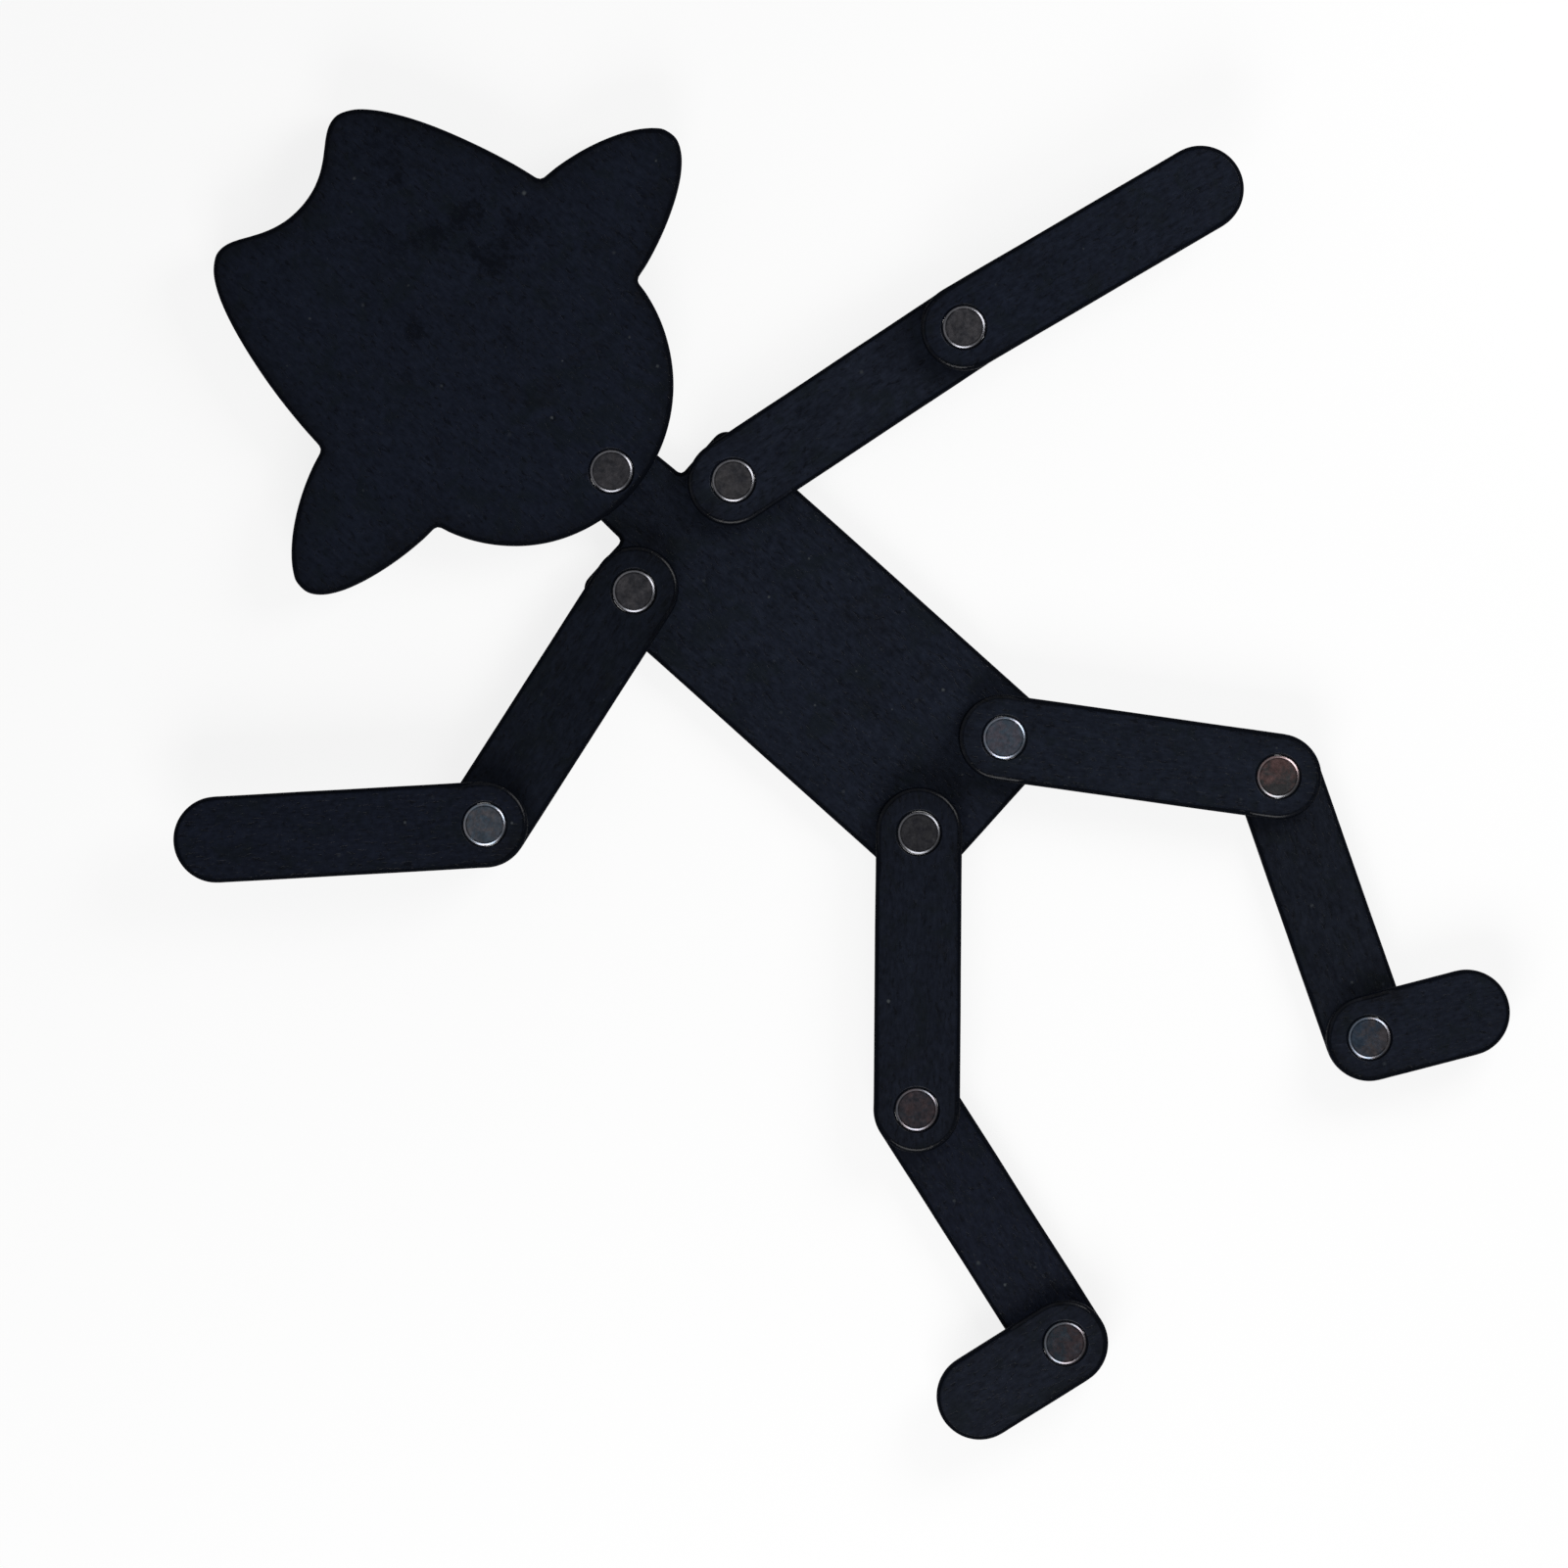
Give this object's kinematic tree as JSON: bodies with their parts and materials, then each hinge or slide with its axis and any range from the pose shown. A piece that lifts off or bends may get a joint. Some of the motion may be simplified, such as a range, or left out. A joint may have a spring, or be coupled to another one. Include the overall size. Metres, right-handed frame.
{
  "type": "jointed wooden stick man",
  "caption": "Flat jointed stick man in a brimmed hat, cut from dark stained boards that turn on flush disc magnets, so that it can be laid or stuck in any pose.",
  "frame": {"origin": "on the torso's back face, midway between the row of shoulders and the row of hips", "axes": "+Y up the body towards the hat, +Z out of the figure's front, +X to the figure's own left; it lies on its back on the surface at z = 0"},
  "size_m": [0.1707, 0.2064, 0.0126],
  "materials": {
    "stained_wood": "blue-black stain, matt, grain showing faintly",
    "nickel": "nickel plating, smooth and mirror-like with a rounded rim"
  },
  "bodies": {
    "torso": {"torso": "stained_wood", "torso_neck_magnet": "nickel", "torso_left_shoulder_magnet": "nickel", "torso_left_hip_magnet": "nickel", "torso_right_shoulder_magnet": "nickel", "torso_right_hip_magnet": "nickel"},
    "head": {"head": "stained_wood", "head_neck_magnet": "nickel"},
    "left_upper_arm": {"left_upper_arm": "stained_wood", "left_upper_arm_shoulder_magnet": "nickel", "left_upper_arm_elbow_magnet": "nickel"},
    "left_forearm": {"left_forearm": "stained_wood", "left_forearm_elbow_magnet": "nickel"},
    "left_thigh": {"left_thigh": "stained_wood", "left_thigh_hip_magnet": "nickel", "left_thigh_knee_magnet": "nickel"},
    "left_shin": {"left_shin": "stained_wood", "left_shin_knee_magnet": "nickel", "left_shin_ankle_magnet": "nickel"},
    "left_foot": {"left_foot": "stained_wood", "left_foot_ankle_magnet": "nickel"},
    "right_upper_arm": {"right_upper_arm": "stained_wood", "right_upper_arm_shoulder_magnet": "nickel", "right_upper_arm_elbow_magnet": "nickel"},
    "right_forearm": {"right_forearm": "stained_wood", "right_forearm_elbow_magnet": "nickel"},
    "right_thigh": {"right_thigh": "stained_wood", "right_thigh_hip_magnet": "nickel", "right_thigh_knee_magnet": "nickel"},
    "right_shin": {"right_shin": "stained_wood", "right_shin_knee_magnet": "nickel", "right_shin_ankle_magnet": "nickel"},
    "right_foot": {"right_foot": "stained_wood", "right_foot_ankle_magnet": "nickel"}
  },
  "joints": [
    {"name": "neck", "type": "hinge", "parent": "torso", "child": "head", "pos_m": [0, 0.0395, 0.00415], "axis": [0, 0, 1], "range_deg": [-32, 27]},
    {"name": "left_shoulder", "type": "hinge", "parent": "torso", "child": "left_upper_arm", "pos_m": [0.01035, 0.026, 0.00415], "axis": [0, 0, 1], "range_deg": [-95, 50]},
    {"name": "left_elbow", "type": "hinge", "parent": "left_upper_arm", "child": "left_forearm", "pos_m": [0.04761, 0.0163, 0.00845], "axis": [0, 0, 1], "continuous": true},
    {"name": "left_hip", "type": "hinge", "parent": "torso", "child": "left_thigh", "pos_m": [0.0089, -0.026, 0.00415], "axis": [0, 0, 1], "range_deg": [-38, 56]},
    {"name": "left_knee", "type": "hinge", "parent": "left_thigh", "child": "left_shin", "pos_m": [0.03032, -0.05799, 0.00415], "axis": [0, 0, 1], "range_deg": [-47, 172]},
    {"name": "left_ankle", "type": "hinge", "parent": "left_shin", "child": "left_foot", "pos_m": [0.01171, -0.0917, 0.00415], "axis": [0, 0, 1], "continuous": true},
    {"name": "right_shoulder", "type": "hinge", "parent": "torso", "child": "right_upper_arm", "pos_m": [-0.01035, 0.026, 0.00415], "axis": [0, 0, 1], "range_deg": [-45, 100]},
    {"name": "right_elbow", "type": "hinge", "parent": "right_upper_arm", "child": "right_forearm", "pos_m": [-0.04834, 0.01978, 0.00845], "axis": [0, 0, 1], "continuous": true},
    {"name": "right_hip", "type": "hinge", "parent": "torso", "child": "right_thigh", "pos_m": [-0.0089, -0.026, 0.00415], "axis": [0, 0, 1], "range_deg": [-41, 38]},
    {"name": "right_knee", "type": "hinge", "parent": "right_thigh", "child": "right_shin", "pos_m": [-0.03778, -0.05146, 0.00415], "axis": [0, 0, 1], "range_deg": [-142, 77]},
    {"name": "right_ankle", "type": "hinge", "parent": "right_shin", "child": "right_foot", "pos_m": [-0.0482, -0.08852, 0.00415], "axis": [0, 0, 1], "continuous": true}
  ]
}
